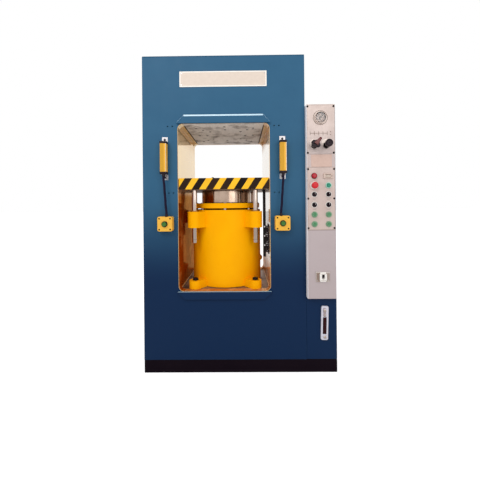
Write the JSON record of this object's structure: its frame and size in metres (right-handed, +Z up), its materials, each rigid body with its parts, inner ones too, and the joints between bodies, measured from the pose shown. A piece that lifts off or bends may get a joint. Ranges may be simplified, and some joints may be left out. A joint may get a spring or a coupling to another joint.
{
  "type": "hydraulic press",
  "caption": "Up-stroking hydraulic press with a window frame, a guided platen on one large cylinder and a control console on a side cabinet.",
  "frame": {"origin": "middle of the machine's footprint on the floor", "axes": "+X to the operator's right, +Y away from the operator, +Z up"},
  "size_m": [1.1218, 0.677, 1.8403],
  "materials": {
    "press_blue": "smooth blue machine enamel",
    "plinth_black": "black enamel",
    "wall_gold": "glossy golden-yellow enamel",
    "machined_steel": "ground and machined steel",
    "cast_yellow": "glossy yellow enamel on a casting",
    "platen_paint": "yellow enamel with black slanted bands on the front edge",
    "hard_chrome": "polished hard chrome",
    "black_steel": "black oxide",
    "black_plastic": "black moulded plastic",
    "guard_yellow": "yellow powder coat",
    "lead_sheath": "dark cable sheath",
    "stainless": "brushed stainless sheet",
    "clear_glass": "clear gauge glass",
    "red_plastic": "red moulded plastic",
    "green_plastic": "green moulded plastic",
    "grey_plastic": "grey counter housing",
    "white_plastic": "white moulded plastic",
    "oil_glass": "window filled with dark red oil"
  },
  "bodies": {
    "frame": {"base_plinth": "plinth_black", "button_panel": "stainless", "circuit_breaker": "white_plastic", "console_box": "stainless", "cycle_counter": "grey_plastic", "cylinder_casting": "cast_yellow", "front_frame_plate": "press_blue", "gauge_case": "stainless", "gauge_glass": "clear_glass", "gland_flange": "cast_yellow", "left_curtain_lead": "lead_sheath", "left_hand_box": "guard_yellow", "left_inner_wall": "wall_gold", "left_light_curtain": "guard_yellow", "left_side_panel": "press_blue", "left_valve_body": "machined_steel", "limit_switches": "black_plastic", "lower_bolster": "machined_steel", "lower_front_keeper": "press_blue", "name_plate": "white_plastic", "oil_level_frame": "white_plastic", "oil_level_glass": "oil_glass", "pilot_lamp": "red_plastic", "rear_frame_plate": "press_blue", "right_curtain_lead": "lead_sheath", "right_hand_box": "guard_yellow", "right_inner_wall": "wall_gold", "right_light_curtain": "guard_yellow", "right_side_panel": "press_blue", "right_valve_body": "machined_steel", "side_cabinet": "press_blue", "top_cover": "press_blue", "upper_bolster": "machined_steel", "upper_front_keeper": "press_blue"},
    "platen": {"platen": "platen_paint", "ram": "hard_chrome", "front_left_guide_rod": "hard_chrome", "front_right_guide_rod": "hard_chrome", "rear_left_guide_rod": "hard_chrome", "rear_right_guide_rod": "hard_chrome", "striker_bar": "black_steel"},
    "left_hand_button": {"left_hand_button": "green_plastic"},
    "right_hand_button": {"right_hand_button": "green_plastic"},
    "start_button": {"start_button": "green_plastic"},
    "upper_left_button": {"upper_left_button": "green_plastic"},
    "upper_right_button": {"upper_right_button": "green_plastic"},
    "lower_left_button": {"lower_left_button": "green_plastic"},
    "lower_right_button": {"lower_right_button": "green_plastic"},
    "emergency_stop": {"emergency_stop": "red_plastic"},
    "upper_left_selector": {"upper_left_selector": "black_plastic"},
    "upper_right_selector": {"upper_right_selector": "black_plastic"},
    "lower_left_selector": {"lower_left_selector": "black_plastic"},
    "lower_right_selector": {"lower_right_selector": "black_plastic"},
    "left_valve_knob": {"left_valve_knob": "black_plastic"},
    "right_valve_knob": {"right_valve_knob": "black_plastic"},
    "gauge_needle": {"gauge_needle": "black_plastic"},
    "breaker_toggle": {"breaker_toggle": "black_plastic"},
    "upper_switch_lever": {"upper_switch_lever": "black_steel"},
    "middle_switch_lever": {"middle_switch_lever": "black_steel"},
    "lower_switch_lever": {"lower_switch_lever": "black_steel"}
  },
  "joints": [
    {"name": "platen_stroke", "type": "slide", "parent": "frame", "child": "platen", "axis": [0, 0, 1], "range_m": [-0.07, 0.13]},
    {"name": "left_hand_button_press", "type": "slide", "parent": "frame", "child": "left_hand_button", "axis": [0, 1, 0], "range_m": [0, 0.006], "stiffness_N_per_m": 900},
    {"name": "right_hand_button_press", "type": "slide", "parent": "frame", "child": "right_hand_button", "axis": [0, 1, 0], "range_m": [0, 0.006], "stiffness_N_per_m": 900},
    {"name": "start_button_press", "type": "slide", "parent": "frame", "child": "start_button", "axis": [0, 1, 0], "range_m": [0, 0.004], "stiffness_N_per_m": 700},
    {"name": "upper_left_button_press", "type": "slide", "parent": "frame", "child": "upper_left_button", "axis": [0, 1, 0], "range_m": [0, 0.004], "stiffness_N_per_m": 700},
    {"name": "upper_right_button_press", "type": "slide", "parent": "frame", "child": "upper_right_button", "axis": [0, 1, 0], "range_m": [0, 0.004], "stiffness_N_per_m": 700},
    {"name": "lower_left_button_press", "type": "slide", "parent": "frame", "child": "lower_left_button", "axis": [0, 1, 0], "range_m": [0, 0.004], "stiffness_N_per_m": 700},
    {"name": "lower_right_button_press", "type": "slide", "parent": "frame", "child": "lower_right_button", "axis": [0, 1, 0], "range_m": [0, 0.004], "stiffness_N_per_m": 700},
    {"name": "emergency_stop_press", "type": "slide", "parent": "frame", "child": "emergency_stop", "axis": [0, 1, 0], "range_m": [0, 0.005]},
    {"name": "upper_left_selector_turn", "type": "hinge", "parent": "frame", "child": "upper_left_selector", "pos_m": [0.42615, -0.27585, 1.028], "axis": [0, 1, 0], "range_deg": [-45, 45]},
    {"name": "upper_right_selector_turn", "type": "hinge", "parent": "frame", "child": "upper_right_selector", "pos_m": [0.50615, -0.27585, 1.028], "axis": [0, 1, 0], "range_deg": [-45, 45]},
    {"name": "lower_left_selector_turn", "type": "hinge", "parent": "frame", "child": "lower_left_selector", "pos_m": [0.42615, -0.27585, 0.969], "axis": [0, 1, 0], "range_deg": [-45, 45]},
    {"name": "lower_right_selector_turn", "type": "hinge", "parent": "frame", "child": "lower_right_selector", "pos_m": [0.50615, -0.27585, 0.969], "axis": [0, 1, 0], "range_deg": [-45, 45]},
    {"name": "left_valve_turn", "type": "hinge", "parent": "frame", "child": "left_valve_knob", "pos_m": [0.42815, -0.30445, 1.306], "axis": [0, 1, 0], "range_deg": [-80, 15]},
    {"name": "right_valve_turn", "type": "hinge", "parent": "frame", "child": "right_valve_knob", "pos_m": [0.49515, -0.30445, 1.306], "axis": [0, 1, 0], "range_deg": [-540, 540]},
    {"name": "gauge_needle_sweep", "type": "hinge", "parent": "frame", "child": "gauge_needle", "pos_m": [0.46315, -0.27385, 1.46], "axis": [0, 1, 0], "range_deg": [-175, 95]},
    {"name": "breaker_toggle_flip", "type": "hinge", "parent": "frame", "child": "breaker_toggle", "pos_m": [0.46965, -0.28165, 0.5625], "axis": [1, 0, 0], "range_deg": [0, 50]},
    {"name": "upper_switch_lever_swing", "type": "hinge", "parent": "frame", "child": "upper_switch_lever", "pos_m": [0.1698, -0.15255, 0.81808], "axis": [0, 1, 0], "range_deg": [-20, 35], "stiffness_Nm_per_rad": 0.5},
    {"name": "middle_switch_lever_swing", "type": "hinge", "parent": "frame", "child": "middle_switch_lever", "pos_m": [0.1698, -0.15255, 0.76208], "axis": [0, 1, 0], "range_deg": [-20, 35], "stiffness_Nm_per_rad": 0.5},
    {"name": "lower_switch_lever_swing", "type": "hinge", "parent": "frame", "child": "lower_switch_lever", "pos_m": [0.1698, -0.15255, 0.70608], "axis": [0, 1, 0], "range_deg": [-20, 35], "stiffness_Nm_per_rad": 0.5}
  ]
}
